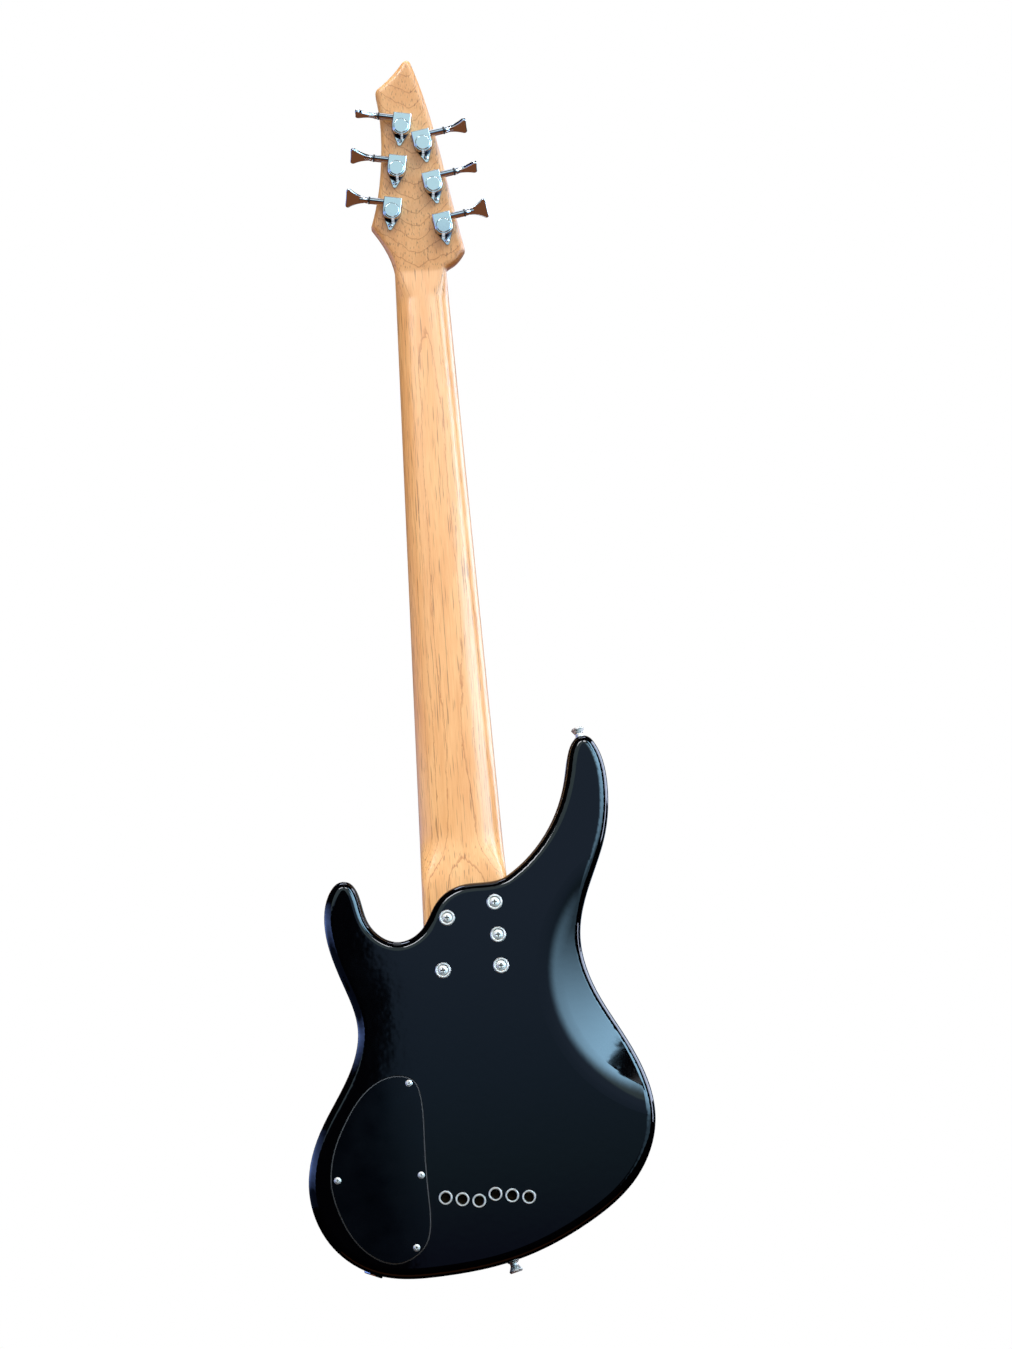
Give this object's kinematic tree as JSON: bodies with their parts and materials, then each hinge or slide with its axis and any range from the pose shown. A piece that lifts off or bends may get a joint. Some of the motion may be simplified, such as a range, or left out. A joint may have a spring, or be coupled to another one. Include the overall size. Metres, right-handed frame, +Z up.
{
  "type": "electric bass guitar",
  "caption": "Electric bass guitar with a black contoured body, bolt-on maple neck, pointed headstock, worm-gear tuners, sliding saddles and turning control knobs.",
  "frame": {"origin": "middle of the nut line on the fingerboard's glue plane, where a wall hanger's yoke holds the neck", "axes": "+Z up along the neck to the headstock, +Y out of the back, +X to the treble side"},
  "size_m": [0.3128, 0.0726, 1.1751],
  "materials": {
    "black_lacquer": "high gloss lacquer",
    "maple": "satin oil",
    "rosewood": "open grain, oiled",
    "fret_wire": "polished",
    "pearl": "pearl",
    "bone": "polished",
    "steel": "plain",
    "black_plastic": "satin",
    "pickup_plastic": "matt",
    "chrome": "polished plating",
    "string_wire": "round wound",
    "brass": "plain",
    "coil_wire": "enamelled copper under tape",
    "ferrite": "plain",
    "zinc": "pressed",
    "circuit_board": "solder mask",
    "battery_case": "painted steel",
    "lead_sheath": "soft"
  },
  "bodies": {
    "instrument": {"body": "black_lacquer", "neck": "maple", "fingerboard": "rosewood", "frets": "fret_wire", "face_dots": "pearl", "side_dots": "pearl", "nut": "bone", "truss_rod": "steel", "truss_rod_cover": "black_plastic", "control_cover": "black_plastic", "tuner_washers": "black_plastic", "neck_pickup_cover": "pickup_plastic", "bridge_pickup_cover": "pickup_plastic", "truss_rod_cover_screws": "chrome", "neck_bolts": "chrome", "neck_bolt_cups": "chrome", "string_ferrules": "chrome", "bridge_plate": "chrome", "bridge_screws": "chrome", "intonation_screws": "chrome", "pickup_screws": "chrome", "control_cover_screws": "chrome", "potentiometer_nuts": "chrome", "output_jack": "chrome", "strap_buttons": "chrome", "strap_button_screws": "chrome", "tuner_plates": "chrome", "tuner_housings": "chrome", "tuner_screws": "chrome", "tuner_bushings": "chrome", "strings": "string_wire", "string_ball_ends": "brass", "pickup_coils": "coil_wire", "pickup_magnets": "ferrite", "potentiometers": "zinc", "preamp_board": "circuit_board", "battery": "battery_case", "leads": "lead_sheath"},
    "saddle_1": {"saddle_1": "chrome"},
    "saddle_2": {"saddle_2": "chrome"},
    "saddle_3": {"saddle_3": "chrome"},
    "saddle_4": {"saddle_4": "chrome"},
    "saddle_5": {"saddle_5": "chrome"},
    "saddle_6": {"saddle_6": "chrome"},
    "knob_volume": {"knob_volume": "chrome"},
    "knob_blend": {"knob_blend": "chrome"},
    "knob_treble": {"knob_treble": "chrome"},
    "knob_bass": {"knob_bass": "chrome"},
    "tuner_key_1": {"tuner_key_1": "chrome"},
    "tuner_key_2": {"tuner_key_2": "chrome"},
    "tuner_key_3": {"tuner_key_3": "chrome"},
    "tuner_key_4": {"tuner_key_4": "chrome"},
    "tuner_key_5": {"tuner_key_5": "chrome"},
    "tuner_key_6": {"tuner_key_6": "chrome"},
    "tuner_post_1": {"tuner_post_1": "chrome"},
    "tuner_post_2": {"tuner_post_2": "chrome"},
    "tuner_post_3": {"tuner_post_3": "chrome"},
    "tuner_post_4": {"tuner_post_4": "chrome"},
    "tuner_post_5": {"tuner_post_5": "chrome"},
    "tuner_post_6": {"tuner_post_6": "chrome"}
  },
  "joints": [
    {"name": "tuner_key_1_turn", "type": "hinge", "parent": "instrument", "child": "tuner_key_1", "pos_m": [-0.0463, 0.02916, 0.05506], "axis": [-0.9848, 0.0302, 0.171], "continuous": true},
    {"name": "tuner_post_1_turn", "type": "hinge", "parent": "instrument", "child": "tuner_post_1", "pos_m": [-0.0256, 0.02193, 0.04397], "axis": [0, 0.9848, -0.1736], "continuous": true},
    {"name": "tuner_key_2_turn", "type": "hinge", "parent": "instrument", "child": "tuner_key_2", "pos_m": [-0.0389, 0.03645, 0.09638], "axis": [-0.9848, 0.0302, 0.171], "continuous": true},
    {"name": "tuner_post_2_turn", "type": "hinge", "parent": "instrument", "child": "tuner_post_2", "pos_m": [-0.0182, 0.02921, 0.08528], "axis": [0, 0.9848, -0.1736], "continuous": true},
    {"name": "tuner_key_3_turn", "type": "hinge", "parent": "instrument", "child": "tuner_key_3", "pos_m": [-0.0315, 0.04373, 0.13769], "axis": [-0.9848, 0.0302, 0.171], "continuous": true},
    {"name": "tuner_post_3_turn", "type": "hinge", "parent": "instrument", "child": "tuner_post_3", "pos_m": [-0.01081, 0.0365, 0.1266], "axis": [0, 0.9848, -0.1736], "continuous": true},
    {"name": "tuner_key_4_turn", "type": "hinge", "parent": "instrument", "child": "tuner_key_4", "pos_m": [0.0302, 0.04689, 0.15562], "axis": [0.9848, 0.0302, 0.171], "continuous": true},
    {"name": "tuner_post_4_turn", "type": "hinge", "parent": "instrument", "child": "tuner_post_4", "pos_m": [0.0095, 0.03966, 0.14452], "axis": [0, 0.9848, -0.1736], "continuous": true},
    {"name": "tuner_key_5_turn", "type": "hinge", "parent": "instrument", "child": "tuner_key_5", "pos_m": [0.0376, 0.03961, 0.1143], "axis": [0.9848, 0.0302, 0.171], "continuous": true},
    {"name": "tuner_post_5_turn", "type": "hinge", "parent": "instrument", "child": "tuner_post_5", "pos_m": [0.0169, 0.03237, 0.10321], "axis": [0, 0.9848, -0.1736], "continuous": true},
    {"name": "tuner_key_6_turn", "type": "hinge", "parent": "instrument", "child": "tuner_key_6", "pos_m": [0.045, 0.03232, 0.07298], "axis": [0.9848, 0.0302, 0.171], "continuous": true},
    {"name": "tuner_post_6_turn", "type": "hinge", "parent": "instrument", "child": "tuner_post_6", "pos_m": [0.0243, 0.02509, 0.06189], "axis": [0, 0.9848, -0.1736], "continuous": true},
    {"name": "knob_volume_turn", "type": "hinge", "parent": "instrument", "child": "knob_volume", "pos_m": [0.07998, 0, -0.79999], "axis": [0, -1, 0], "range_deg": [-140, 140]},
    {"name": "knob_blend_turn", "type": "hinge", "parent": "instrument", "child": "knob_blend", "pos_m": [0.10304, 0, -0.82804], "axis": [0, -1, 0], "range_deg": [-140, 140]},
    {"name": "knob_treble_turn", "type": "hinge", "parent": "instrument", "child": "knob_treble", "pos_m": [0.112, 0, -0.86412], "axis": [0, -1, 0], "range_deg": [-140, 140]},
    {"name": "knob_bass_turn", "type": "hinge", "parent": "instrument", "child": "knob_bass", "pos_m": [0.10243, 0, -0.902], "axis": [0, -1, 0], "range_deg": [-140, 140]},
    {"name": "saddle_1_slide", "type": "slide", "parent": "instrument", "child": "saddle_1", "axis": [0, 0, 1], "range_m": [-0.005, 0.005], "deforming": ["strings"]},
    {"name": "saddle_2_slide", "type": "slide", "parent": "instrument", "child": "saddle_2", "axis": [0, 0, 1], "range_m": [-0.005, 0.005], "deforming": ["strings"]},
    {"name": "saddle_3_slide", "type": "slide", "parent": "instrument", "child": "saddle_3", "axis": [0, 0, 1], "range_m": [-0.005, 0.005], "deforming": ["strings"]},
    {"name": "saddle_4_slide", "type": "slide", "parent": "instrument", "child": "saddle_4", "axis": [0, 0, 1], "range_m": [-0.005, 0.005], "deforming": ["strings"]},
    {"name": "saddle_5_slide", "type": "slide", "parent": "instrument", "child": "saddle_5", "axis": [0, 0, 1], "range_m": [-0.005, 0.005], "deforming": ["strings"]},
    {"name": "saddle_6_slide", "type": "slide", "parent": "instrument", "child": "saddle_6", "axis": [0, 0, 1], "range_m": [-0.005, 0.005], "deforming": ["strings"]}
  ],
  "couplings": [
    {"joint": "tuner_post_1_turn", "follows": "tuner_key_1_turn", "ratio": 0.05},
    {"joint": "tuner_post_2_turn", "follows": "tuner_key_2_turn", "ratio": 0.05},
    {"joint": "tuner_post_3_turn", "follows": "tuner_key_3_turn", "ratio": 0.05},
    {"joint": "tuner_post_4_turn", "follows": "tuner_key_4_turn", "ratio": 0.05},
    {"joint": "tuner_post_5_turn", "follows": "tuner_key_5_turn", "ratio": 0.05},
    {"joint": "tuner_post_6_turn", "follows": "tuner_key_6_turn", "ratio": 0.05}
  ]
}
